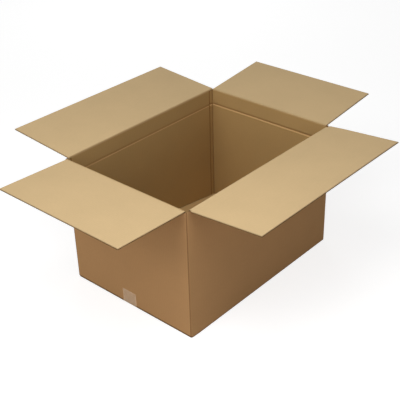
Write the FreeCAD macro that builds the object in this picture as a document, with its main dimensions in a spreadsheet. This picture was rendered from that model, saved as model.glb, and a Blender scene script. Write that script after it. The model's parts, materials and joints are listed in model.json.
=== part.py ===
import FreeCAD, Part
import os
import Sketcher

# Open regular slotted carton: one folded sheet of corrugated board with four top flaps turned
# outwards, closed underneath with a strip of clear tape. Millimetres, +Z up. The origin is the
# middle of the footprint on the ground, +X runs along the long walls and -Y is the front.

SIZES = [
    ("carton_length", 600.0, "outside length, along the long walls"),
    ("carton_width", 436.0, "outside width, along the end walls"),
    ("end_crease_height", 378.0, "height of the end flaps' crease on the outer face"),
    ("board", 3.0, "thickness of the corrugated board"),
    ("layer_gap", 0.3, "clearance between two layers of board that lie on each other"),
    ("bend_inside", 0.8, "inner radius of the upright folds"),
    ("slot_relief", 1.2, "how much further than one board a slot is cut back"),
    ("joint_relief", 2.0, "how much further than two boards the slot at the glued joint is cut back"),
    ("joint_notch", 2.0, "rounding of the fold beside the glued joint's raw edge"),
    ("seam_gap", 1.5, "gap between the two outer bottom flaps"),
    ("left_spring_angle", 4.0, "rise of the left inner bottom flap, degrees"),
    ("right_spring_angle", 7.5, "rise of the right inner bottom flap, degrees"),
    ("bottom_flap_reach", 218.0, "length of the inner bottom flaps from the outer face"),
    ("lap_width", 35.0, "width of the glue lap"),
    ("lap_taper", 8.0, "slant of the glue lap's two ends"),
    ("lap_margin", 12.0, "distance of the glue lap from the creases above and below it"),
    ("score_drop", 46.0, "depth of the score line below the end flaps' crease"),
    ("score_height", 7.0, "width of the pressed score line"),
    ("score_depth", 0.8, "depth of the pressed score line"),
    ("hinge_offset", 0.1, "distance of a flap's turning axis outside its wall"),
    ("root_gap", 0.3, "distance of a flap's outer root edge from its turning axis"),
    ("meeting_gap", 0.6, "gap between the two long flaps when they are closed"),
    ("left_rest_angle", 2.1, "angle of the left end flap above level, degrees"),
    ("right_rest_angle", 6.0, "angle of the right end flap above level, degrees"),
    ("front_rest_angle", 4.4, "angle of the front long flap above level, degrees"),
    ("back_rest_angle", 4.6, "angle of the back long flap above level, degrees"),
    ("tape_width", 50.0, "width of the tape"),
    ("tape_tail", 45.0, "height of the tape's two ends above the ground"),
    ("tape_thickness", 0.2, "thickness of the tape"),
    ("tape_shift", 8.0, "distance of the tape's middle behind the seam"),
    ("tape_corner", 1.0, "distance of the tape's lower bend inside the end face"),
    ("cut_margin", 20.0, "how far a cut runs past the board"),
]

SAME_PLACE = 1e-6  # two coordinates nearer than this are one place

# Expressions that several pieces share, each worked out from the sheet.
HALF_LENGTH = "sizes.carton_length / 2"
HALF_WIDTH = "sizes.carton_width / 2"
BOARD = "sizes.board"
INNER_X = f"({HALF_LENGTH} - {BOARD})"
INNER_Y = f"({HALF_WIDTH} - {BOARD})"
SLOT = f"({BOARD} + sizes.slot_relief)"
JOINT_SLOT = f"(2 * {BOARD} + sizes.joint_relief)"
END_FOLD = f"({BOARD} + sizes.layer_gap)"
END_CREASE = "sizes.end_crease_height"
LONG_CREASE = f"({END_CREASE} + {BOARD} + sizes.layer_gap)"
SCORE_LEVEL = f"({END_CREASE} - sizes.score_drop)"
FLAP_REACH = f"({HALF_WIDTH} + sizes.hinge_offset - sizes.meeting_gap / 2)"

doc = FreeCAD.newDocument("open_carton")
sheet = doc.addObject("Spreadsheet::Sheet", "sizes")
for row, (alias, number, meaning) in enumerate(SIZES, start=1):
    sheet.set(f"A{row}", meaning)
    sheet.set(f"B{row}", str(number))
    sheet.setAlias(f"B{row}", alias)
doc.recompute()


def value(expression):
    """The number that an expression of the sheet's sizes gives now."""
    return float(sheet.evalExpression(expression))


def new_body(label):
    body = doc.addObject("PartDesign::Body", label)
    body.Label = label
    return body


def new_sketch(body, role, name, shift="0"):
    """An empty sketch on one of the body's own planes, shifted along the plane's normal."""
    plane = next(item for item in body.Origin.OriginFeatures if item.Role == role)
    sketch = body.newObject("Sketcher::SketchObject", name)
    sketch.AttachmentSupport = [(plane, "")]
    sketch.MapMode = "FlatFace"
    sketch.setExpression("AttachmentOffset.Base.z", shift)
    return sketch


def place_point(sketch, line, end, spot):
    """Tie one end of a line to a spot, given as two expressions."""
    for kind, expression in zip(("DistanceX", "DistanceY"), spot):
        number = sketch.addConstraint(
            Sketcher.Constraint(kind, -1, 1, line, end, value(expression)))
        sketch.setExpression(f"Constraints[{number}]", expression)


def draw_loop(sketch, corners):
    """A closed loop of straight lines through corners that are given as expressions."""
    spots = [FreeCAD.Vector(value(across), value(up), 0) for across, up in corners]
    count = len(spots)
    lines = [sketch.addGeometry(Part.LineSegment(spots[index], spots[(index + 1) % count]))
             for index in range(count)]
    for index, line in enumerate(lines):
        following = lines[(index + 1) % count]
        sketch.addConstraint(Sketcher.Constraint("Coincident", line, 2, following, 1))
        place_point(sketch, line, 1, corners[index])


def draw_rectangle(sketch, left, bottom, right, top):
    draw_loop(sketch, [(left, bottom), (right, bottom), (right, top), (left, top)])


def draw_round_off(sketch, corner, side, radius):
    """The piece between a square lower corner and the round fold that replaces it."""
    reach = value(radius)
    tip = FreeCAD.Vector(value(corner[0]), value(corner[1]), 0)
    along = tip + FreeCAD.Vector(-side * reach, 0, 0)
    above = tip + FreeCAD.Vector(0, reach, 0)
    centre = tip + FreeCAD.Vector(-side * reach, reach, 0)
    halfway = centre + FreeCAD.Vector(side, -1, 0).normalize() * reach
    foot = sketch.addGeometry(Part.LineSegment(tip, along))
    upright = sketch.addGeometry(Part.LineSegment(tip, above))
    arc = sketch.addGeometry(Part.Arc(along, halfway, above))
    arc_start = 1 if side > 0 else 2
    arc_finish = 2 if side > 0 else 1
    sketch.addConstraint(Sketcher.Constraint("Coincident", foot, 1, upright, 1))
    place_point(sketch, foot, 1, corner)
    sketch.addConstraint(Sketcher.Constraint("Horizontal", foot))
    sketch.addConstraint(Sketcher.Constraint("Vertical", upright))
    sketch.addConstraint(Sketcher.Constraint("Coincident", foot, 2, arc, arc_start))
    sketch.addConstraint(Sketcher.Constraint("Coincident", upright, 2, arc, arc_finish))
    sketch.addConstraint(Sketcher.Constraint("Vertical", foot, 2, arc, 3))
    sketch.addConstraint(Sketcher.Constraint("Horizontal", upright, 2, arc, 3))
    number = sketch.addConstraint(Sketcher.Constraint("Radius", arc, reach))
    sketch.setExpression(f"Constraints[{number}]", radius)


def extrude(body, kind, sketch, name, length, side="One side", reverse=False):
    """A pad or pocket of a sketch over a length that is given as an expression."""
    feature = body.newObject(f"PartDesign::{kind}", name)
    feature.Profile = sketch
    feature.Type = "Length"
    feature.SideType = side
    feature.Reversed = reverse
    feature.setExpression("Length", length)
    return feature


def upright_edges(shape, spots):
    """Names of the upright edges that stand at the given places."""
    found = []
    for number, edge in enumerate(shape.Edges, start=1):
        low, high = edge.Vertexes[0].Point, edge.Vertexes[-1].Point
        upright = abs(low.x - high.x) < SAME_PLACE and abs(low.y - high.y) < SAME_PLACE
        if upright and any(abs(low.x - x) < SAME_PLACE and abs(low.y - y) < SAME_PLACE
                           for x, y in spots):
            found.append(f"Edge{number}")
    return found


def round_upright_folds(body, base, across, along, radius, name):
    """Round the three upright folds of the sheet; the fourth corner is the glued joint."""
    doc.recompute()
    x, y = value(across), value(along)
    fillet = body.newObject("PartDesign::Fillet", name)
    fillet.Base = (base, upright_edges(base.Shape, [(-x, -y), (-x, y), (x, y)]))
    fillet.setExpression("Radius", radius)
    return fillet


def make_walls(body):
    """Four walls, rounded at the folds, with a raw board edge at the front right corner."""
    sketch = new_sketch(body, "XY_Plane", "wall_plan")
    draw_rectangle(sketch, f"-{HALF_LENGTH}", f"-{HALF_WIDTH}", HALF_LENGTH, HALF_WIDTH)
    draw_rectangle(sketch, f"-{INNER_X}", f"-{INNER_Y}", INNER_X, INNER_Y)
    ring = extrude(body, "Pad", sketch, "wall_ring", LONG_CREASE)
    outer = round_upright_folds(body, ring, HALF_LENGTH, HALF_WIDTH,
                                f"sizes.bend_inside + {BOARD}", "outer_folds")
    round_upright_folds(body, outer, INNER_X, INNER_Y, "sizes.bend_inside", "inner_folds")

    sketch = new_sketch(body, "XY_Plane", "joint_notch_plan")
    draw_loop(sketch, [(HALF_LENGTH, f"-{INNER_Y}"),
                       (HALF_LENGTH, f"sizes.joint_notch - {INNER_Y}"),
                       (f"{HALF_LENGTH} - sizes.joint_notch", f"-{INNER_Y}")])
    extrude(body, "Pocket", sketch, "joint_notch", LONG_CREASE, reverse=True)


def make_outer_bottom_flaps(body):
    """The front and back bottom flaps, which meet in the middle."""
    sketch = new_sketch(body, "XY_Plane", "outer_bottom_plan")
    reach = f"({HALF_LENGTH} - {SLOT})"
    draw_rectangle(sketch, f"-{reach}", f"-{HALF_WIDTH}", reach, "-sizes.seam_gap / 2")
    draw_rectangle(sketch, f"-{reach}", "sizes.seam_gap / 2", reach, HALF_WIDTH)
    extrude(body, "Pad", sketch, "outer_bottom_flaps", BOARD)


def make_bottom_slots(body):
    """The end walls stop above the outer bottom flaps, from the slot to the corner."""
    sketch = new_sketch(body, "XZ_Plane", "bottom_slot_profile")
    slot_start = f"({HALF_LENGTH} - {SLOT})"
    beyond = f"({HALF_LENGTH} + sizes.cut_margin)"
    draw_rectangle(sketch, f"-{beyond}", "-sizes.cut_margin", f"-{slot_start}", END_FOLD)
    draw_rectangle(sketch, slot_start, "-sizes.cut_margin", beyond, END_FOLD)
    extrude(body, "Pocket", sketch, "bottom_slots", f"2 * ({HALF_WIDTH} + sizes.cut_margin)",
            "Symmetric")


def make_inner_bottom_flap(body, name, side, spring, near_slot):
    """An inner bottom flap that springs up from its fold; near_slot is at the front."""
    rise, run = f"sin(sizes.{spring} * 1 deg)", f"cos(sizes.{spring} * 1 deg)"
    reach = "sizes.bottom_flap_reach"
    fold_top = f"({END_FOLD} + {BOARD} * (1 + {rise}) / {run})"
    tip_x = f"({HALF_LENGTH} - {reach} * {run})"
    tip_z = f"({END_FOLD} + {reach} * {rise})"
    profile = [(HALF_LENGTH, END_FOLD),
               (tip_x, tip_z),
               (f"({tip_x} + {BOARD} * {rise})", f"({tip_z} + {BOARD} * {run})"),
               (INNER_X, fold_top),
               (HALF_LENGTH, fold_top)]
    sketch = new_sketch(body, "XZ_Plane", f"{name}_profile", f"{HALF_WIDTH} - {near_slot}")
    draw_loop(sketch, [(f"{side} * {across}", up) for across, up in profile])
    extrude(body, "Pad", sketch, name, f"sizes.carton_width - {SLOT} - {near_slot}", reverse=True)


def make_bottom_folds(body):
    """Round the lower outer folds with the board's own bend."""
    sketch = new_sketch(body, "XZ_Plane", "end_fold_profile")
    draw_round_off(sketch, (HALF_LENGTH, END_FOLD), 1, BOARD)
    draw_round_off(sketch, (f"-{HALF_LENGTH}", END_FOLD), -1, BOARD)
    extrude(body, "Pocket", sketch, "end_folds", f"2 * ({HALF_WIDTH} + sizes.cut_margin)",
            "Symmetric")
    sketch = new_sketch(body, "YZ_Plane", "long_fold_profile")
    draw_round_off(sketch, (HALF_WIDTH, "0"), 1, BOARD)
    draw_round_off(sketch, (f"-{HALF_WIDTH}", "0"), -1, BOARD)
    extrude(body, "Pocket", sketch, "long_folds", f"2 * ({HALF_LENGTH} + sizes.cut_margin)",
            "Symmetric")


def make_score(body):
    """A V-shaped line pressed into the inner faces all round, for a lower fold."""
    for name, reverse in (("score_lower_half", False), ("score_upper_half", True)):
        sketch = new_sketch(body, "XY_Plane", f"{name}_plan", SCORE_LEVEL)
        across, along = f"({INNER_X} + sizes.score_depth)", f"({INNER_Y} + sizes.score_depth)"
        draw_rectangle(sketch, f"-{across}", f"-{along}", across, along)
        half = extrude(body, "Pocket", sketch, name, "sizes.score_height / 2", reverse=reverse)
        half.setExpression("TaperAngle", "-atan(2 * sizes.score_depth / sizes.score_height)")


def make_glue_lap(body):
    """The tab at the end of the sheet, glued inside the front wall at the right."""
    low = f"({END_FOLD} + sizes.lap_margin)"
    high = f"({END_CREASE} - sizes.lap_margin)"
    free_edge = f"({INNER_X} - sizes.lap_width)"
    sketch = new_sketch(body, "XZ_Plane", "glue_lap_outline", f"{INNER_Y} - {BOARD}")
    draw_loop(sketch, [(INNER_X, low), (INNER_X, high),
                       (free_edge, f"{high} - sizes.lap_taper"),
                       (free_edge, f"{low} + sizes.lap_taper")])
    extrude(body, "Pad", sketch, "glue_lap", BOARD)


def make_top_edges(body):
    """Lower the end walls to their crease and bevel all four walls for the flaps' folds."""
    above = f"({LONG_CREASE} + sizes.cut_margin)"
    sketch = new_sketch(body, "YZ_Plane", "end_wall_top_profile")
    draw_rectangle(sketch, f"-{INNER_Y}", END_CREASE, INNER_Y, above)
    extrude(body, "Pocket", sketch, "end_wall_tops", f"2 * ({HALF_LENGTH} + sizes.cut_margin)",
            "Symmetric")
    for name, role, outer, inner, crease, length in (
            ("long_wall_bevels", "YZ_Plane", HALF_WIDTH, INNER_Y, LONG_CREASE,
             f"2 * ({HALF_LENGTH} + sizes.cut_margin)"),
            ("end_wall_bevels", "XZ_Plane", HALF_LENGTH, INNER_X, END_CREASE,
             f"2 * {INNER_Y}")):
        sketch = new_sketch(body, role, f"{name}_profile")
        for side in (1, -1):
            draw_loop(sketch, [(f"{side} * {outer}", crease), (f"{side} * {inner}", crease),
                               (f"{side} * {inner}", f"{crease} - {BOARD}")])
        extrude(body, "Pocket", sketch, name, length, "Symmetric")


def make_tape_recess(body):
    """The tape is pressed into the bottom flaps, so the underside stays flat."""
    reach = f"({HALF_LENGTH} - {SLOT} + sizes.cut_margin)"
    sketch = new_sketch(body, "XY_Plane", "tape_recess_plan")
    draw_rectangle(sketch, f"-{reach}", "sizes.tape_shift - sizes.tape_width / 2",
                   reach, "sizes.tape_shift + sizes.tape_width / 2")
    extrude(body, "Pocket", sketch, "tape_recess", "sizes.tape_thickness", reverse=True)


def make_carton_body():
    body = new_body("carton_body")
    make_walls(body)
    make_outer_bottom_flaps(body)
    make_bottom_slots(body)
    make_inner_bottom_flap(body, "left_inner_bottom_flap", -1, "left_spring_angle", SLOT)
    make_inner_bottom_flap(body, "right_inner_bottom_flap", 1, "right_spring_angle", JOINT_SLOT)
    make_bottom_folds(body)
    make_score(body)
    make_glue_lap(body)
    make_top_edges(body)
    make_tape_recess(body)
    return body


def make_top_flap(label, wall_length, slots, seat, yaw, rest):
    """A flap drawn pointing along +X from its turning axis, then set on its wall.

    wall_length is the wall's outside length, slots are the cuts at its two ends, seat is the
    middle of the turning axis, yaw is the way it points and rest its angle above level."""
    body = new_body(label)
    near_slot, far_slot = slots
    sketch = new_sketch(body, "XZ_Plane", f"{label}_profile", f"{far_slot} - {wall_length} / 2")
    draw_loop(sketch, [("sizes.root_gap", "0"), (FLAP_REACH, "0"), (FLAP_REACH, BOARD),
                       (f"sizes.root_gap + {BOARD}", BOARD)])
    extrude(body, "Pad", sketch, f"{label}_board", f"{wall_length} - {near_slot} - {far_slot}")
    x, y, z = seat
    body.setExpression("Placement", f"create(<<placement>>; create(<<vector>>; {x}; {y}; {z}); "
                                    f"create(<<rotation>>; {yaw}; -sizes.{rest}; 0))")
    return body


def make_top_flaps():
    """The slots are listed from the flap's own right to its left, looking outwards."""
    length, width = "sizes.carton_length", "sizes.carton_width"
    end_seat = f"{HALF_LENGTH} + sizes.hinge_offset"
    long_seat = f"{HALF_WIDTH} + sizes.hinge_offset"
    raw_edge = "0"
    return [
        make_top_flap("right_end_flap", width, (JOINT_SLOT, SLOT),
                      (end_seat, "0", END_CREASE), 0, "right_rest_angle"),
        make_top_flap("left_end_flap", width, (SLOT, SLOT),
                      (f"-({end_seat})", "0", END_CREASE), 180, "left_rest_angle"),
        make_top_flap("back_long_flap", length, (SLOT, SLOT),
                      ("0", long_seat, LONG_CREASE), 90, "back_rest_angle"),
        make_top_flap("front_long_flap", length, (SLOT, raw_edge),
                      ("0", f"-({long_seat})", LONG_CREASE), -90, "front_rest_angle"),
    ]


def make_bottom_tape():
    """One strip along the bottom seam that turns up both end walls."""
    body = new_body("bottom_tape")
    film = "sizes.tape_thickness"
    bend_x = f"({HALF_LENGTH} - sizes.tape_corner)"
    bend_z = f"({END_FOLD} + {BOARD} / 2)"
    outer_half = [(f"({HALF_LENGTH} + {film})", "sizes.tape_tail"),
                  (f"({HALF_LENGTH} + {film})", bend_z),
                  (bend_x, "0")]
    inner_half = [(f"({bend_x} - {film})", film),
                  (HALF_LENGTH, bend_z),
                  (HALF_LENGTH, "sizes.tape_tail")]
    outer = outer_half + [(f"-{across}", up) for across, up in reversed(outer_half)]
    inner = [(f"-{across}", up) for across, up in reversed(inner_half)] + inner_half
    sketch = new_sketch(body, "XZ_Plane", "tape_profile", "-sizes.tape_shift")
    draw_loop(sketch, outer + inner)
    extrude(body, "Pad", sketch, "tape_strip", "sizes.tape_width", "Symmetric")
    return body


def check_and_export(bodies):
    doc.recompute()
    for item in doc.Objects:
        if "Invalid" in item.State or "Error" in item.State:
            raise RuntimeError(f"{item.Name} failed: {item.State}")
    os.makedirs("parts", exist_ok=True)
    for body in bodies:
        if body.Shape.isNull() or not body.Shape.isValid() or len(body.Shape.Solids) != 1:
            raise RuntimeError(f"{body.Label} is not one valid solid")
    for body in bodies:
        body.Shape.exportStep(f"parts/{body.Label}.step")


check_and_export([make_carton_body()] + make_top_flaps() + [make_bottom_tape()])
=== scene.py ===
"""Looks of the open carton: folded kraft board with real flutes, creases and a strip of tape.

Metres, in the part's frame: +Z up, +X along the long walls, -Y the front. Every piece of board is
built from points that are worked out here, in the places that the CAD nodes and joints give."""

import json
import math

import bmesh
import bpy
from mathutils import Matrix, Vector


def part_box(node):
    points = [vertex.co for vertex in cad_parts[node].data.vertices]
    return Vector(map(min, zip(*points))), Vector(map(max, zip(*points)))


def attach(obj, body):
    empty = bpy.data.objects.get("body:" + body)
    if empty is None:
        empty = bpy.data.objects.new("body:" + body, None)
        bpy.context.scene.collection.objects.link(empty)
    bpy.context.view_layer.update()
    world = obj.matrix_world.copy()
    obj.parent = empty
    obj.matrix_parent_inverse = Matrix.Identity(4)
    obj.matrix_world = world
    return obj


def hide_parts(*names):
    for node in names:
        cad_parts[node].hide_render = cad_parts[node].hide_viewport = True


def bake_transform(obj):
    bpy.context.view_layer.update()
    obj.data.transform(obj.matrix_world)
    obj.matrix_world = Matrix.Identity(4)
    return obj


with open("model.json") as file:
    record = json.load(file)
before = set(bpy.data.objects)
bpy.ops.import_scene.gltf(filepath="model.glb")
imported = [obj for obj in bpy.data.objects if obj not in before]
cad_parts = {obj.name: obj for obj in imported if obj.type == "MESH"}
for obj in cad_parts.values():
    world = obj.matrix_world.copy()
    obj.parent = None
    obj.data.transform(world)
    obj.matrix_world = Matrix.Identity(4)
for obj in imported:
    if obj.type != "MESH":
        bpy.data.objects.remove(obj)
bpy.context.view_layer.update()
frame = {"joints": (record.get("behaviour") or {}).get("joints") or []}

MM = 0.001

# The sheet of board
BOARD = 3.0 * MM            # whole thickness
LINER = 0.35 * MM           # one of the two flat papers
FLUTING = 0.25 * MM         # the waved paper between them
PITCH = 6.3 * MM            # length of one flute
WAVE_STEPS = 10             # points along one flute
CRUSHED_RIM = 2.0 * MM      # width of the upper paper that a cut bends down
CRUSH = 0.5 * MM            # how far it goes down
WELD = 2e-6                 # points nearer than this are one point
SHARP_ANGLE = math.radians(12)

# Heights and places that the CAD gives
carton_low, carton_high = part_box("carton_body")
HALF_LENGTH = carton_high.x
HALF_WIDTH = carton_high.y
LONG_CREASE = carton_high.z
JOINTS = {joint["child"]: joint for joint in frame["joints"]}
END_CREASE = JOINTS["left_flap"]["pos_m"][2]
HINGE_OFFSET = -JOINTS["left_flap"]["pos_m"][0] - HALF_LENGTH
SLOT = 4.2 * MM             # from the outer face of a wall to the edge of the flap beside it
JOINT_SLOT = 8.0 * MM       # the same at the glued joint
JOINT_FLAP_SIDE = 11.4 * MM  # the same for the top flap there, at its root
END_FOLD = 3.3 * MM         # underside of the end walls, over the outer bottom flaps
ROOT_GAP = 0.3 * MM         # from a flap's turning axis to its board
FLAP_REACH = 217.8 * MM     # from the turning axis to the flap's outer edge
HALF_END = HALF_WIDTH - SLOT    # half of an end flap's uncut width
HALF_LONG = HALF_LENGTH - SLOT  # half of a long flap's uncut width
NO_NOTCHES = ((0.0, 0.0), (0.0, 0.0))   # a panel with whole corners at its root
FOLD_STEPS = 9              # faces round the bend of a top crease
END_BULGE = 0.35            # how much the left end flap's crease stands out at mid bend
JOINT_BULGE = 0.22          # the same for the right end flap, beside the glued joint

# The knives did not cut every side quite square to its crease
JOINT_TIP_SIDE = 9.2 * MM   # as JOINT_FLAP_SIDE, at the flap's tip
LEFT_FAR_CUT = 3.5 * MM     # cut off the left end flap's far side
BACK_CUTS = 3.0 * MM, 2.0 * MM      # off the back flap's far side, at its root and tip
FRONT_CUTS = 1.5 * MM, 2.5 * MM     # off the front flap's near side, at its root and tip
FRONT_FAR_CUT = 3.4 * MM    # off its far side, which closes beside the right end flap's crease
FRONT_NOTCHES = (6 * MM, 4 * MM), (45 * MM, 2.6 * MM)   # length and depth at its two roots
FRONT_CREASE_START = 4 * MM     # the front flap's crease starts that far from its near side

# Finishes of the board's faces, as numbers of the material slots
(INSIDE, OUTSIDE, FLUTES, CUT, RIM, SLOT_PAINTED_SHADE, INSIDE_CREASE_PAINTED_SHADE, OUTSIDE_CREASE_PAINTED_SHADE, SCORE_PAINTED_SHADE,
 SCORE_PAINTED_HIGHLIGHT, BOTTOM_PAINTED_SHADE) = range(11)


def rest_angle(body):
    """A flap's angle above level in the photograph, which is how much short of 180 it closes."""
    return math.radians(180 - JOINTS[body]["range_deg"][1])


class SheetMesh:
    """Grids and faces with a position on the flat sheet, welded into one mesh."""

    def __init__(self):
        self.bm = bmesh.new()
        self.sheet = self.bm.loops.layers.uv.new("sheet")

    def face(self, corners, finish):
        """corners: pairs of a point and its place on the sheet."""
        made = self.bm.faces.new([self.bm.verts.new(point) for point, _ in corners])
        made.material_index = finish
        made.smooth = True
        for loop, (_, place) in zip(made.loops, corners):
            loop[self.sheet].uv = place

    def grid(self, rows, finishes):
        """rows: lists of (point, place); finishes: one for every gap between rows, or one for
        each, which may again be a list with one for each gap along the rows."""
        if isinstance(finishes, int):
            finishes = [finishes] * (len(rows) - 1)
        for low, high, finish in zip(rows, rows[1:], finishes):
            spans = len(low) - 1
            row_finishes = [finish] * spans if isinstance(finish, int) else finish
            for index in range(spans):
                self.face([low[index], low[index + 1], high[index + 1], high[index]],
                          row_finishes[index])

    def side_walls(self, rows, finish):
        """Both sides of a flat plate: rows go out along its underside and back along its top."""
        for end in (0, -1):
            side = [row[end] for row in rows]
            for index in range(len(side) // 2 - 1):
                self.face([side[index], side[index + 1], side[-index - 2], side[-index - 1]],
                          finish)

    def build(self, name, materials, placement=None):
        bmesh.ops.remove_doubles(self.bm, verts=self.bm.verts, dist=WELD)
        bmesh.ops.dissolve_degenerate(self.bm, edges=self.bm.edges, dist=WELD)
        bmesh.ops.recalc_face_normals(self.bm, faces=self.bm.faces)
        mesh = bpy.data.meshes.new(name)
        self.bm.to_mesh(mesh)
        self.bm.free()
        if placement is not None:
            mesh.transform(placement)
        mesh.set_sharp_from_angle(angle=SHARP_ANGLE)
        for material in materials:
            mesh.materials.append(material)
        piece = bpy.data.objects.new(name, mesh)
        bpy.context.scene.collection.objects.link(piece)
        return piece


def node(tree, kind, links=(), **settings):
    """A node with settings on it; links are pairs of one of its inputs and a value or an output."""
    made = tree.nodes.new(kind)
    for key, setting in settings.items():
        setattr(made, key, setting)
    for key, source in links:
        if isinstance(source, bpy.types.NodeSocket):
            tree.links.new(source, made.inputs[key])
        else:
            made.inputs[key].default_value = source
    return made


def srgb(red, green, blue):
    """A linear colour from the 0 to 255 values that it shows on a screen."""
    def linear(level):
        level /= 255
        return level / 12.92 if level <= 0.04045 else ((level + 0.055) / 1.055) ** 2.4
    return (linear(red), linear(green), linear(blue), 1.0)


def new_material(name):
    material = bpy.data.materials.new(name)
    material.use_nodes = True
    tree = material.node_tree
    shader = tree.nodes["Principled BSDF"]
    return material, tree, shader


def math_node(tree, operation, first, second=0.0):
    made = node(tree, "ShaderNodeMath", [(0, first), (1, second)], operation=operation)
    return made.outputs[0]


def mix_colours(tree, factor, first, second):
    made = node(tree, "ShaderNodeMix", data_type="RGBA")
    tree.links.new(factor, made.inputs[0])
    made.inputs[6].default_value = first
    made.inputs[7].default_value = second
    return made.outputs[2]


def noise(tree, place, stretch, scale, detail):
    """Noise of the flat sheet, with stretch across and along the flutes."""
    moved = node(tree, "ShaderNodeMapping", [("Vector", place), ("Scale", (*stretch, 1.0))])
    made = node(tree, "ShaderNodeTexNoise", [("Vector", moved.outputs["Vector"]),
                                             ("Scale", scale), ("Detail", detail),
                                             ("Roughness", 0.6)])
    return made.outputs["Fac"]


# How much each pattern of the paper lightens and darkens it, and how high it stands
BLOTCH_TONE, FIBRE_TONE, WAVE_TONE = 0.11, 0.13, 0.012
FIBRE_HEIGHT, WAVE_HEIGHT = 0.05 * MM, 0.02 * MM


def paper_material(name, colour, painted_shade_colour=None, washboard=1.0):
    """Kraft paper: soft blotches, fibres along the flutes and the flutes showing through.

    The optional second colour is painted shade: a deeper colour for the paper below the top
    creases, for the shade inside the box; washboard is how strongly the flutes show, from 0 to 1."""
    material, tree, shader = new_material(name)
    place = node(tree, "ShaderNodeUVMap", uv_map="sheet").outputs["UV"]
    across, along = node(tree, "ShaderNodeSeparateXYZ", [(0, place)]).outputs[:2]

    blotches = noise(tree, place, (1.0, 1.0), 9.0, 3.0)
    fibres = noise(tree, place, (1.0, 0.16), 700.0, 3.0)
    flecks = noise(tree, place, (1.0, 0.5), 420.0, 2.0)
    wave = math_node(tree, "SINE", math_node(tree, "MULTIPLY", across, math.tau / PITCH))

    base = colour[:3]
    # Painted shade: below the top creases the paper turns to the deeper colour.
    if painted_shade_colour is not None:
        below = node(tree, "ShaderNodeMapRange",
                     [("Value", along), ("From Min", END_CREASE - BOARD),
                      ("From Max", LONG_CREASE + BOARD)], interpolation_type="SMOOTHSTEP")
        base = mix_colours(tree, below.outputs[0], painted_shade_colour, colour)

    shade = 1.0
    for source, middle, strength in ((blotches, 0.5, BLOTCH_TONE), (fibres, 0.5, FIBRE_TONE),
                                     (wave, 0.0, WAVE_TONE * washboard)):
        swing = math_node(tree, "MULTIPLY", math_node(tree, "SUBTRACT", source, middle), strength)
        shade = math_node(tree, "ADD", swing, shade)
    dark_fleck = node(tree, "ShaderNodeMapRange",
                      [("Value", flecks), ("From Min", 0.72), ("From Max", 0.80),
                       ("To Min", 1.0), ("To Max", 0.80)])
    shade = math_node(tree, "MULTIPLY", shade, dark_fleck.outputs[0])
    tone = node(tree, "ShaderNodeVectorMath", [(0, base), ("Scale", shade)], operation="SCALE")
    tree.links.new(tone.outputs[0], shader.inputs["Base Color"])

    height = math_node(tree, "ADD", math_node(tree, "MULTIPLY", fibres, FIBRE_HEIGHT),
                       math_node(tree, "MULTIPLY", wave, WAVE_HEIGHT * washboard))
    bump = node(tree, "ShaderNodeBump", [("Height", height), ("Strength", 0.6),
                                         ("Distance", 1.0)])
    tree.links.new(bump.outputs["Normal"], shader.inputs["Normal"])
    shader.inputs["Roughness"].default_value = 0.88
    shader.inputs["Specular IOR Level"].default_value = 0.22
    return material


PALE_EDGE = 6 * MM          # width of the tape's paler edges
PALER = 1.15                # how much paler they are
WRINKLE_HEIGHT = 0.4 * MM   # of the tape's bump


def tape_material(low, high):
    """Clear packing tape between low and high: a pale film over the board, paler at its edges."""
    material, tree, shader = new_material("clear_tape")
    place = node(tree, "ShaderNodeUVMap", uv_map="sheet").outputs["UV"]
    across, up = node(tree, "ShaderNodeSeparateXYZ", [(0, place)]).outputs[:2]
    off_middle = math_node(tree, "ABSOLUTE", math_node(tree, "SUBTRACT", across,
                                                       (low.y + high.y) / 2))
    to_side = math_node(tree, "SUBTRACT", (high.y - low.y) / 2, off_middle)
    to_end = math_node(tree, "SUBTRACT", high.z, up)
    edge = node(tree, "ShaderNodeMapRange",
                [("Value", math_node(tree, "MINIMUM", to_side, to_end)),
                 ("From Max", PALE_EDGE), ("To Min", PALER), ("To Max", 1.0)],
                interpolation_type="SMOOTHSTEP")
    wrinkles = node(tree, "ShaderNodeTexNoise", [("Vector", place), ("Scale", 110.0),
                                                 ("Detail", 3.0)]).outputs["Fac"]
    tint = mix_colours(tree, wrinkles, srgb(240, 198, 156), srgb(252, 226, 186))
    tone = node(tree, "ShaderNodeVectorMath", [(0, tint), ("Scale", edge.outputs[0])],
                operation="SCALE")
    tree.links.new(tone.outputs[0], shader.inputs["Base Color"])
    bump = node(tree, "ShaderNodeBump",
                [("Height", math_node(tree, "MULTIPLY", wrinkles, WRINKLE_HEIGHT)),
                 ("Strength", 0.7), ("Distance", 1.0)])
    tree.links.new(bump.outputs["Normal"], shader.inputs["Normal"])
    shader.inputs["Roughness"].default_value = 0.32
    shader.inputs["Alpha"].default_value = 0.45
    return material


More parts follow.
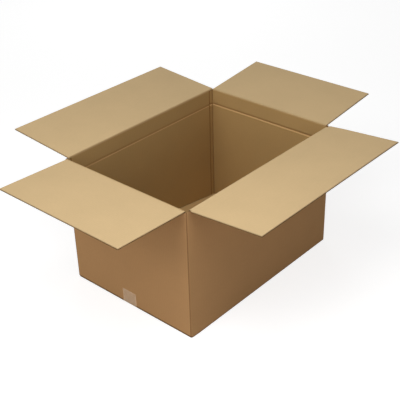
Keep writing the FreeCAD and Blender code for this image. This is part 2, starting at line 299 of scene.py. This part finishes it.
# Inner paper, with shade painted on below the top creases, where the inside of the box lies in
# shade.
PAPERS = [paper_material("inner_kraft", srgb(213, 184, 138), srgb(176, 143, 92)),
          paper_material("outer_kraft", srgb(196, 150, 101)),
          paper_material("flute_kraft", srgb(150, 118, 78), washboard=0.0),
          # Cut edges: the raw board's darker tone, deepened with painted shade for the flutes'
          # hollows and the slots.
          paper_material("cut_edge_and_painted_shade_kraft", srgb(108, 84, 54), washboard=0.0),
          paper_material("rim_kraft", srgb(188, 160, 118), washboard=0.0),
          # Painted shade for the floors of the slots between the flaps.
          paper_material("slot_painted_shade_kraft", srgb(112, 78, 44), washboard=0.0),
          # Painted shade along the upright folds' creases and round the bottom bends.
          paper_material("inner_crease_painted_shade_kraft", srgb(146, 112, 68)),
          paper_material("outer_crease_painted_shade_kraft", srgb(148, 108, 68)),
          # Painted shade on the pressed line's groove and upper slope, and a painted highlight on
          # its lower slope.
          paper_material("score_painted_shade_kraft", srgb(166, 130, 83)),
          paper_material("score_painted_highlight_kraft", srgb(200, 162, 108)),
          # The inner paper painted darker on the box's floor, as the shade inside the box.
          paper_material("bottom_painted_shade_kraft", srgb(203, 169, 117))]


def flute_height(across, thickness):
    """Middle of the waved paper above the underside of a board that thick."""
    swing = thickness / 2 - LINER - FLUTING / 2
    return thickness / 2 + swing * math.cos(math.tau * across / PITCH)


def corrugated_panel(name, sides, roots, tip, placement, origin, skins, thickness=BOARD,
                     notches=NO_NOTCHES):
    """A cut panel of board that points along +X, with flutes along X.

    sides are its two sides in Y, each at the root and at the tip; roots where its lower and
    upper papers start; tip where both end; origin its place on the sheet; skins the finishes of
    its underside and top; notches the length and depth of the corner cut off at the root of
    each side. The knives crush its upper paper a little along the three cuts."""
    board = SheetMesh()
    lower_root, upper_root = roots
    under, over = skins
    hollow = thickness - 2 * LINER
    corner_ends = sorted(upper_root + length for length, depth in notches if depth)

    def spot(x, share, height):
        """A point at x, or at the bevelled root if that is further out, and at a share of the way
        from side to side; height is before the crushing."""
        x = max(x, lower_root + (upper_root - lower_root) * height / thickness)
        out = (x - upper_root) / (tip - upper_root)
        near, far = (root + (end - root) * out for root, end in sides)
        cut_near, cut_far = (depth * min(1.0, max(0.0, (upper_root + length - x) / length))
                             if depth else 0.0 for length, depth in notches)
        near += cut_near
        far -= cut_far
        y = near + (far - near) * share
        rim = max(0.0, 1 - min(y - near, far - y, tip - x) / CRUSHED_RIM)
        if height > LINER:
            height -= CRUSH * rim * min(1.0, (height - LINER) / hollow)
        return Vector((x, y, height)), (origin[0] + y, origin[1] + x)

    width = sides[1][0] - sides[0][0]
    rim_share = CRUSHED_RIM / width
    shares = [0.0, rim_share, 1 - rim_share, 1.0]
    outline = [lower_root] + corner_ends + [tip - CRUSHED_RIM, tip]
    for low, high, lower, upper in ((0.0, LINER, under, FLUTES),
                                    (thickness - LINER, thickness, FLUTES, over)):
        rim = RIM if upper in (INSIDE, BOTTOM_PAINTED_SHADE) else upper
        top = [rim, upper, rim]
        lower_finishes = [lower] * (len(outline) - 1)
        upper_finishes = [rim] + [top] * (len(outline) - 2)
        faces = [[spot(x, share, low) for share in shares] for x in outline]
        faces += [[spot(x, share, high) for share in shares] for x in reversed(outline)]
        board.grid(faces + faces[:1], lower_finishes + [CUT] + upper_finishes + [CUT])
        board.side_walls(faces, CUT)

    count = max(1, round(width / PITCH * WAVE_STEPS))
    waves = sorted({index / count for index in range(count + 1)} | {rim_share, 1 - rim_share})
    rows = []
    for half, stops in ((-0.5, outline), (0.5, outline[::-1])):
        for x in stops:
            rows.append([spot(x, share, flute_height(share * width, thickness) + half * FLUTING)
                         for share in waves])
    board.grid(rows + rows[:1], FLUTES)
    board.side_walls(rows, FLUTES)
    return board.build(name, PAPERS, placement)


def straight(near, far):
    """Two sides of a panel that are square to its fold."""
    return (near, near), (far, far)


def wall_frame(seat, yaw):
    """Placement of a piece drawn along +X from a point, turned about the upright."""
    return Matrix.Translation(seat) @ Matrix.Rotation(yaw, 4, "Z")


def fold_profile(rest, bulge):
    """Cross-section of the crushed board at a flap's crease, round its turning axis.

    Pairs of a point and how far up the sheet it is from the crease, from the wall's inner face
    over the bend to the flap's upper face, then the two points outside the bend. bulge is how
    much the bent paper stands out at mid bend, as a share of the bend's radius."""
    inner = BOARD + HINGE_OFFSET
    flap_start = ROOT_GAP + BOARD
    path = [(Vector((-inner, 0, -BOARD)), -BOARD), (Vector((-inner, 0, -BOARD / 2)), -BOARD / 2)]
    for step in range(FOLD_STEPS + 1):
        share = step / FOLD_STEPS
        angle = math.pi - share * (math.pi / 2 - rest)
        radius = (inner + (BOARD - inner) * share) * (1 + bulge * math.sin(math.pi * share))
        path.append((Vector((radius * math.cos(angle), 0, radius * math.sin(angle))),
                     BOARD * share))
    for reach in (flap_start / 2, flap_start):
        path.append((Vector((reach * math.cos(rest) - BOARD * math.sin(rest), 0,
                             reach * math.sin(rest) + BOARD * math.cos(rest))),
                     BOARD + reach))
    outer = [(Vector((ROOT_GAP * math.cos(rest), 0, ROOT_GAP * math.sin(rest))), ROOT_GAP),
             (Vector((-HINGE_OFFSET, 0, 0)), 0.0)]
    return path, outer


def crease_strip(name, near, far, placement, origin, profile):
    """The bent board between a wall and its flap."""
    path, outer = profile
    strip = SheetMesh()
    rows = []
    for point, up in path + outer + path[:1]:
        rows.append([(point + Vector((0, y, 0)), (origin[0] + y, origin[1] + up))
                     for y in (near, far)])
    bends = [INSIDE] * (len(path) - 1) + [FLUTES, OUTSIDE, FLUTES]
    strip.grid(rows, bends)
    for end in (0, 1):
        strip.face([row[end] for row in rows[:-1]], CUT)
    piece = strip.build(name, PAPERS, placement)
    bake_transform(piece)


def top_flap(label, body, sides, yaw, origin, bulge, notches=NO_NOTCHES, shorts=(0.0, 0.0)):
    """One top flap and its crease; sides and notches are as for a panel, bulge as for a fold's
    profile, and shorts are how much the crease stops short of the near and far side."""
    rest = rest_angle(body)
    seat = Vector(JOINTS[body]["pos_m"])
    upright = wall_frame(seat, yaw)
    level = upright @ Matrix.Rotation(-rest, 4, "Y")
    flap = corrugated_panel(f"{label}_board", sides, (ROOT_GAP, ROOT_GAP + BOARD), FLAP_REACH,
                            level, origin, (OUTSIDE, INSIDE), notches=notches)
    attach(flap, body)
    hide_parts(label)
    (near, _), (far, _) = sides
    near_short, far_short = shorts
    crease_strip(f"{label}_crease", near + near_short, far - far_short, upright, origin,
                 fold_profile(rest, bulge))


# Corners of the folded sheet, in millimetres. Each point is the distance from the corner along
# the end wall and along the long wall. The outer and inner lists have as many points.
OUTER_FOLD = [(30, 0), (7.5, 0), (4.2, 0.1), (3.1, 0.7), (2.1, 0.95), (1.3, 0.8), (1.0, 1.2),
              (0.9, 2.0), (0.72, 3.8), (0.5, 6.8), (0.26, 11), (0.1, 18), (0, 28), (0, 38)]
INNER_FOLD = [(32, 3), (12, 3), (9.4, 3.0), (7.8, 3.3), (5.9, 3.5), (4.6, 3.45), (3.5, 3.3),
              (2.75, 3.6), (3.3, 4.6), (3.75, 7), (3.85, 11), (3.3, 15.2), (2.25, 17.2), (3, 19.6)]
# Gaps between those points that are painted darker, as the shade in the creases.
OUTER_PAINTED_SHADE_GAPS = (2, 3, 4)
INNER_PAINTED_SHADE_GAPS = (5, 6, 7, 11, 12)
SLOT_GAPS = range(2, 9)     # gaps where the top is the bottom of a slot between two flaps, painted dark as shade
SLOT_DROP = 0.2 * MM        # from the long crease down to the floor of a slot
SLOT_SIDE = 1.2 * MM        # the floor ends that far short of the flap beside it
# The glued joint, in millimetres: from the lap's free edge round its fold to the end wall.
LAP_FREE_EDGE = 38
LAP_OUTER = [(3.05, LAP_FREE_EDGE), (3.05, 20), (3.05, 6), (3.1, 3.4), (3.3, 1.6), (3.9, 0.6),
             (4.9, 0.1), (6.2, 0.0), (8.4, 0), (11.2, 0), (11.4, 0), (22, 0)]
LAP_INNER = [(6.0, LAP_FREE_EDGE), (6.0, 20), (6.0, 8), (6.1, 5.2), (6.2, 4.0), (6.5, 3.4),
             (7.2, 3.1), (8.0, 3.0), (9.2, 3), (11.2, 3), (11.4, 3), (24, 3)]
LAP_TOPS = [358, 362, 364.8, 365.6, 366, 376, 381, 381, 381, 381, 378, 378]
LAP_INNER_TOPS = [358, 362, 364.8, 365.6, 366, 374, 379, 379, 379, 379, 375, 375]
LAP_FOOTS = [23.3, 19.2, 16, 15.5, 15, 12, 9, 6, 3.3, 3.3, 3.3, 3.3]
# The front wall's raw edge, in millimetres: distance along the wall, and how far its top is cut
# down there.
RAW_EDGE = [(26, 0), (17.5, 0), (7.0, 0), (6.6, 5), (0, 5)]
CREASE_STOP = 17.5 * MM     # the front flap's crease ends that far from the raw edge

# The pressed line on the inner faces: height above its middle and depth, in millimetres, and the
# finish below that height, which paints shade on the groove and its upper slope and a highlight on
# its lower slope.
SCORE_LEVEL = END_CREASE - 46.5 * MM
SCORE = [(-12, 0.0, INSIDE), (-7.5, 0.0, INSIDE), (-5.8, -0.15, INSIDE), (-4.4, 0.05, INSIDE),
         (-0.9, 1.6, SCORE_PAINTED_HIGHLIGHT), (0.8, 1.6, SCORE_PAINTED_SHADE), (4.4, 0.15, SCORE_PAINTED_SHADE),
         (6.2, 0.0, INSIDE), (10, 0.0, INSIDE)]
SHOW_THROUGH = 0.25         # share of the pressed line's depth that shows on the outer faces
PLAIN_HEIGHTS = [40, 90, 150, 210, 270]     # rows of points up the walls, in millimetres
BEND_STEPS = 4              # faces round a bottom fold
BEND = 1.3 * MM             # radius of the bottom folds' outer face
FOOT_PAINTED_SHADE_HEIGHT = 3.5 * MM        # height up to which the walls' feet are painted with shade, over the bottom folds


class Station:
    """One upright cut through the folded sheet: its outer and inner line and their ends."""

    def __init__(self, corner, along_end, along_long, outer, inner, tops, foot, bend):
        def spot(pair):
            return corner + along_end * pair[0] * MM + along_long * pair[1] * MM
        self.outer = spot(outer)
        self.inner = spot(inner)
        self.tops = tops
        self.foot = foot
        self.bend = bend
        self.finishes = OUTSIDE, CUT, INSIDE


def wall_ends(place, is_end):
    """Height of the top and of the foot at a place near a corner of the box. Outside the slot the
    top slopes at 45 degrees from the outer face, which leaves room for the closed flap."""
    in_slot = max(place) * MM < SLOT - SLOT_SIDE
    if in_slot:
        return LONG_CREASE - SLOT_DROP, END_FOLD
    crease, foot = (END_CREASE, END_FOLD) if is_end else (LONG_CREASE, 0.0)
    return crease - min(place) * MM, foot


def fold_stations(corner, along_end, along_long, end_first):
    """The stations of one upright fold, each with the finishes of the gap that follows it."""
    stations = []
    for outer, inner in zip(OUTER_FOLD, INNER_FOLD):
        is_end = outer[0] > outer[1]
        outer_top, foot = wall_ends(outer, is_end)
        inner_top, _ = wall_ends(inner, is_end)
        stations.append(Station(corner, along_end, along_long, outer, inner,
                                (outer_top, inner_top), foot, BEND))
    if not end_first:
        stations.reverse()
    gaps = len(stations) - 1
    for gap in range(gaps):
        place = gap if end_first else gaps - 1 - gap
        # Creased gaps get painted shade, and the top of a gap in a slot is painted dark as shade.
        stations[gap].finishes = (OUTSIDE_CREASE_PAINTED_SHADE if place in OUTER_PAINTED_SHADE_GAPS else OUTSIDE,
                                  SLOT_PAINTED_SHADE if place in SLOT_GAPS else CUT,
                                  INSIDE_CREASE_PAINTED_SHADE if place in INNER_PAINTED_SHADE_GAPS else INSIDE)
    return stations


def sheet_stations():
    """Stations from the lap's free edge all round the box to the front wall's raw edge."""
    east, north = Vector((1, 0, 0)), Vector((0, 1, 0))

    def box_corner(side_x, side_y):
        return Vector((side_x * HALF_LENGTH, side_y * HALF_WIDTH, 0))

    joint = box_corner(1, -1)
    stations = []
    for outer, inner, outer_top, inner_top, foot in zip(LAP_OUTER, LAP_INNER, LAP_TOPS,
                                                        LAP_INNER_TOPS, LAP_FOOTS):
        on_wall = outer[1] == 0 and outer[0] > JOINT_SLOT / MM
        made = Station(joint, north, -east, outer, inner, (outer_top * MM, inner_top * MM),
                       foot * MM, BEND if on_wall else 0.0)
        in_slot = outer[1] < 3 and outer[0] < JOINT_FLAP_SIDE / MM
        if in_slot:
            # At the glued joint's slot the top is painted dark as shade, and the inner face with
            # the creases' painted shade.
            made.finishes = OUTSIDE, SLOT_PAINTED_SHADE, INSIDE_CREASE_PAINTED_SHADE
        stations.append(made)
    stations += fold_stations(box_corner(1, 1), -north, -east, True)
    stations += fold_stations(box_corner(-1, 1), -north, east, False)
    stations += fold_stations(box_corner(-1, -1), north, east, True)
    for along, cut in RAW_EDGE:
        made = Station(joint, north, -east, (0, along), (3, along),
                       (LONG_CREASE - cut * MM, LONG_CREASE - BOARD - cut * MM), 0.0, BEND)
        # Where the front flap's crease stops, the top of the front wall is painted dark as shade.
        if along * MM <= CREASE_STOP:
            made.finishes = OUTSIDE, SLOT_PAINTED_SHADE, INSIDE
        stations.append(made)
    return stations


def station_loop(station, distance):
    """The closed outline of the sheet at a station: points, and the finish after each point."""
    inward = station.inner - station.outer
    foot = station.foot
    outside, top, inside = station.finishes
    loop = []

    def add(share, height, finish, depth=0.0):
        point = station.outer + inward * (share - depth / inward.length)
        loop.append(((Vector((point.x, point.y, height)), (distance, height)), finish))

    outer_top, inner_top = station.tops
    levels = [height * MM for height in PLAIN_HEIGHTS]
    # The outer face is painted with shade round the bottom bend and a little way up from it.
    add(0, foot + station.bend, OUTSIDE_CREASE_PAINTED_SHADE)
    add(0, foot + FOOT_PAINTED_SHADE_HEIGHT, outside)
    for height in levels:
        add(0, height, outside)
    for above, depth, _ in SCORE:
        add(0, SCORE_LEVEL + above * MM, outside, -SHOW_THROUGH * max(depth, 0.0) * MM)
    add(0, outer_top, top)
    add(1, inner_top, inside)
    # The pressed line's finishes paint shade on its groove and upper slope and a highlight on its
    # lower slope.
    for above, depth, pressed in reversed(SCORE):
        add(1, SCORE_LEVEL + above * MM, pressed if inside == INSIDE else inside, depth * MM)
    for height in reversed(levels):
        add(1, height, inside)
    add(1, foot, outside)
    for step in range(1, BEND_STEPS + 1):
        turn = math.pi / 2 * (1 - step / (BEND_STEPS + 1))
        share = (1 - math.cos(turn)) * station.bend / inward.length
        add(share, foot + station.bend * (1 - math.sin(turn)), OUTSIDE_CREASE_PAINTED_SHADE)
    return loop


def carton_walls():
    """The four walls and the glue lap as one folded sheet."""
    stations = sheet_stations()
    walls = SheetMesh()
    distance = 0.0
    loops = []
    for index, station in enumerate(stations):
        if index:
            distance += (station.outer - stations[index - 1].outer).length
        loops.append(station_loop(station, distance))
    for before, after in zip(loops, loops[1:]):
        count = len(before)
        for index in range(count):
            following = (index + 1) % count
            walls.face([before[index][0], before[following][0], after[following][0],
                        after[index][0]], before[index][1])
    for loop in (loops[0], loops[-1]):
        walls.face([corner for corner, _ in loop], CUT)
    piece = walls.build("carton_walls", PAPERS)
    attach(piece, "carton")
    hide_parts("carton_body")


BOTTOM_REACH = 218 * MM     # length of the inner bottom flaps
INNER_ROOT = 2.2 * MM       # from an end wall's outer face to the board of its bottom flap
OUTER_ROOT = 2.9 * MM       # the same for a long wall
LEFT_SPRING, RIGHT_SPRING = 4.0, 7.5    # degrees that the inner bottom flaps spring up
TAPE_RECESS = 0.2 * MM      # height of the outer bottom flaps over the floor
HALF_SEAM = 0.75 * MM       # half of the gap between the outer bottom flaps
OUTER_INSET = 1.2 * MM      # from an end wall's outer face to the outer bottom flaps


def bottom_flaps():
    """Two inner flaps that spring up from the end walls, over two outer ones in one plane."""
    # The flaps' upper faces, the box's floor, are painted darker as the shade inside the box.
    near_joint = HALF_WIDTH - JOINT_SLOT
    for label, side, spring, near, far in (("left", -1, LEFT_SPRING, -HALF_END, HALF_END),
                                           ("right", 1, RIGHT_SPRING, -HALF_END, near_joint)):
        yaw = 0 if side < 0 else math.pi
        seat = Vector((side * HALF_LENGTH, 0, END_FOLD))
        placement = wall_frame(seat, yaw) @ Matrix.Rotation(-math.radians(spring), 4, "Y")
        flap = corrugated_panel(f"{label}_inner_bottom_flap", straight(near, far),
                                (INNER_ROOT, INNER_ROOT), BOTTOM_REACH, placement,
                                (side * 0.9, -0.3), (OUTSIDE, BOTTOM_PAINTED_SHADE))
        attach(flap, "carton")

    half_x = HALF_LENGTH - OUTER_INSET
    for label, side in (("front", -1), ("back", 1)):
        yaw = math.pi / 2 if side < 0 else -math.pi / 2
        seat = Vector((0, side * HALF_WIDTH, TAPE_RECESS))
        flap = corrugated_panel(f"{label}_outer_bottom_flap", straight(-half_x, half_x),
                                (OUTER_ROOT, OUTER_ROOT), HALF_WIDTH - HALF_SEAM,
                                wall_frame(seat, yaw), (side * 0.5, -0.6), (OUTSIDE, BOTTOM_PAINTED_SHADE),
                                BOARD - TAPE_RECESS)
        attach(flap, "carton")


FILM = 0.11 * MM            # thickness of the tape
TAPE_COLUMNS = 14           # faces across the tape
RUFFLE = 0.03 * MM          # height of its ruffles
# The tape's inner face from the top of the end wall's strip to under the flaps, in millimetres:
# how far outside the end wall's outer face, and the height.
TAPE_LINE = [(0.03, 30), (0.03, 16), (0.03, 7.5), (-0.1, 4.0), (-0.5, 2.2), (-0.75, 0.8),
             (-1.5, 0.18), (-8, 0.13), (-100, 0.13)]


def tape():
    """The strip of film under the bottom seam, pressed up both end walls."""
    low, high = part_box("bottom_tape")
    half = [(HALF_LENGTH + out * MM, height * MM) for out, height in TAPE_LINE]
    half.insert(0, (half[0][0], high.z))
    outline = half + [(-x, z) for x, z in reversed(half)]
    strip = SheetMesh()

    def point(index, column, side):
        x, z = outline[index]
        before = outline[max(index - 1, 0)]
        after = outline[min(index + 1, len(outline) - 1)]
        run = Vector((after[0] - before[0], after[1] - before[1])).normalized()
        outward = Vector((-run.y, run.x))
        y = low.y + (high.y - low.y) * column / TAPE_COLUMNS
        on_wall = z > 1 * MM
        ruffle = RUFFLE * math.sin(2.1 * column + 5.3 * index) if on_wall else 0.0
        lift = (FILM if side else 0.0) + max(ruffle, 0.0)
        return Vector((x + outward.x * lift, y, z + outward.y * lift)), (y, z)

    rows, backs = ([[point(index, column, side) for column in range(TAPE_COLUMNS + 1)]
                    for index in range(len(outline))] for side in (0, 1))
    strip.grid(rows + backs[::-1] + rows[:1], 0)
    for end in (0, -1):
        strip.grid([[row[end] for row in rows], [row[end] for row in backs]], 0)
    piece = strip.build("seam_tape", [tape_material(low, high)])
    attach(piece, "carton")
    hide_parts("bottom_tape")


carton_walls()
bottom_flaps()
tape()
top_flap("right_end_flap", "right_flap",
         ((JOINT_FLAP_SIDE - HALF_WIDTH, JOINT_TIP_SIDE - HALF_WIDTH), (HALF_END, HALF_END)),
         0, (0.28, END_CREASE), JOINT_BULGE)
top_flap("left_end_flap", "left_flap", straight(-HALF_END, HALF_END - LEFT_FAR_CUT),
         math.pi, (1.34, END_CREASE), END_BULGE)
top_flap("back_long_flap", "back_flap",
         ((-HALF_LONG, -HALF_LONG), (HALF_LONG - BACK_CUTS[0], HALF_LONG - BACK_CUTS[1])),
         math.pi / 2, (0.8, LONG_CREASE), 0.0)
top_flap("front_long_flap", "front_flap",
         ((FRONT_CUTS[0] - HALF_LONG, FRONT_CUTS[1] - HALF_LONG),
          (HALF_LENGTH - FRONT_FAR_CUT, HALF_LENGTH - FRONT_FAR_CUT)),
         -math.pi / 2, (1.85, LONG_CREASE), 0.0, FRONT_NOTCHES,
         (FRONT_CREASE_START, CREASE_STOP - FRONT_FAR_CUT))


FLOOR_RADIUS = 9.0
FLOOR_DROP = 0.3 * MM       # below the box
FLOOR_FADE = 1.6, 5.0       # distances between which the floor fades away
FLOOR_TONE = 0.42, 0.42, 0.42, 1
SEEN_FLOOR_TONE = 0.4, 0.4, 0.4, 1
SEEN_FLOOR_GLOW = 0.8
WHITE = 1, 1, 1, 1
WORLD_LIGHT = 0.2
LIGHT_TARGET = 0, 0, 0.3
# Name, place, width and watts of each soft lamp
LIGHTS = [("left", (-2.0, 0.3, 2.0), 1.4, 18.0),
          ("overhead", (-0.9, -0.5, 2.3), 1.0, 7.0),
          ("near", (-0.5, -0.4, 1.35), 0.7, 4.7),
          ("left_low", (-2.2, -0.1, 0.6), 1.2, 6.2),
          ("front_low", (-0.7, -1.8, 0.6), 1.0, 5.0),
          ("behind", (1.9, 2.1, 1.3), 1.4, 10.0)]
# The photograph's viewpoint, found from the box's corners
CAMERA_PLACE = (-1.537459, -1.381020, 1.419994)
CAMERA_AZIMUTH, CAMERA_ELEVATION, CAMERA_ROLL = -0.8350015, 0.5342847, -0.0290878
SENSOR_WIDTH, FOCAL_LENGTH = 36.0, 76.056


def seen_rays(tree):
    """1 for a ray from the camera or from a gloss or see-through surface, otherwise 0."""
    rays = node(tree, "ShaderNodeLightPath")
    return math_node(tree, "MAXIMUM", rays.outputs["Is Camera Ray"],
                     math_node(tree, "MAXIMUM", rays.outputs["Is Glossy Ray"],
                               rays.outputs["Is Transmission Ray"]))


def floor():
    """A wide pale floor that fades into the white backdrop."""
    bm = bmesh.new()
    bmesh.ops.create_circle(bm, cap_ends=True, segments=96, radius=FLOOR_RADIUS)
    mesh = bpy.data.meshes.new("floor")
    bm.to_mesh(mesh)
    bm.free()
    mesh.transform(Matrix.Translation((0, 0, -FLOOR_DROP)))
    material, tree, shader = new_material("pale_floor")
    seen = seen_rays(tree)
    tint = mix_colours(tree, seen, FLOOR_TONE, SEEN_FLOOR_TONE)
    tree.links.new(tint, shader.inputs["Base Color"])
    shader.inputs["Emission Color"].default_value = WHITE
    tree.links.new(math_node(tree, "MULTIPLY", seen, SEEN_FLOOR_GLOW),
                   shader.inputs["Emission Strength"])
    shader.inputs["Roughness"].default_value = 1.0
    shader.inputs["Specular IOR Level"].default_value = 0.0
    place = node(tree, "ShaderNodeTexCoord").outputs["Object"]
    spread = node(tree, "ShaderNodeVectorMath", [(0, place)], operation="LENGTH")
    fade = node(tree, "ShaderNodeMapRange", [("Value", spread.outputs["Value"]),
                                             ("From Min", FLOOR_FADE[0]),
                                             ("From Max", FLOOR_FADE[1])])
    clear = node(tree, "ShaderNodeBsdfTransparent")
    mix = node(tree, "ShaderNodeMixShader", [(0, fade.outputs[0]), (1, shader.outputs[0]),
                                             (2, clear.outputs[0])])
    tree.links.new(mix.outputs[0], tree.nodes["Material Output"].inputs["Surface"])
    mesh.materials.append(material)
    piece = bpy.data.objects.new("floor", mesh)
    bpy.context.scene.collection.objects.link(piece)


def backdrop(strength):
    """White where it is seen, and an even soft light of that strength on the object."""
    world = bpy.data.worlds.new("backdrop")
    bpy.context.scene.world = world
    world.use_nodes = True
    tree = world.node_tree
    seen = seen_rays(tree)
    level = node(tree, "ShaderNodeMapRange", [("Value", seen), ("To Min", strength),
                                              ("To Max", 1.0)])
    tree.links.new(level.outputs[0], tree.nodes["Background"].inputs["Strength"])
    tree.nodes["Background"].inputs["Color"].default_value = WHITE


def softbox(name, place, target, size, watts):
    """A square lamp at a place, turned to a target."""
    light = bpy.data.lights.new(name, "AREA")
    light.shape = "SQUARE"
    light.size = size
    light.energy = watts
    lamp = bpy.data.objects.new(name, light)
    lamp.location = place
    lamp.rotation_mode = "QUATERNION"
    lamp.rotation_quaternion = (Vector(target) - Vector(place)).to_track_quat("-Z", "Y")
    bpy.context.scene.collection.objects.link(lamp)


def camera():
    """The camera at the photograph's viewpoint."""
    level = math.cos(CAMERA_ELEVATION)
    back = Vector((math.sin(CAMERA_AZIMUTH) * level, -math.cos(CAMERA_AZIMUTH) * level,
                   math.sin(CAMERA_ELEVATION)))
    level_right = Vector((0, 0, 1)).cross(back).normalized()
    level_up = back.cross(level_right)
    cos_roll, sin_roll = math.cos(CAMERA_ROLL), math.sin(CAMERA_ROLL)
    right = level_right * cos_roll + level_up * sin_roll
    up = level_up * cos_roll - level_right * sin_roll
    data = bpy.data.cameras.new("camera")
    data.sensor_width = SENSOR_WIDTH
    data.lens = FOCAL_LENGTH
    data.clip_start, data.clip_end = 0.05, 60.0
    view = bpy.data.objects.new("camera", data)
    turn = Matrix((right, up, back)).transposed().to_4x4()
    view.matrix_world = Matrix.Translation(CAMERA_PLACE) @ turn
    bpy.context.scene.collection.objects.link(view)
    bpy.context.scene.camera = view


floor()
backdrop(WORLD_LIGHT)
for name, place, size, watts in LIGHTS:
    softbox(name, place, LIGHT_TARGET, size, watts)
camera()
bpy.context.scene.view_settings.view_transform = "Standard"
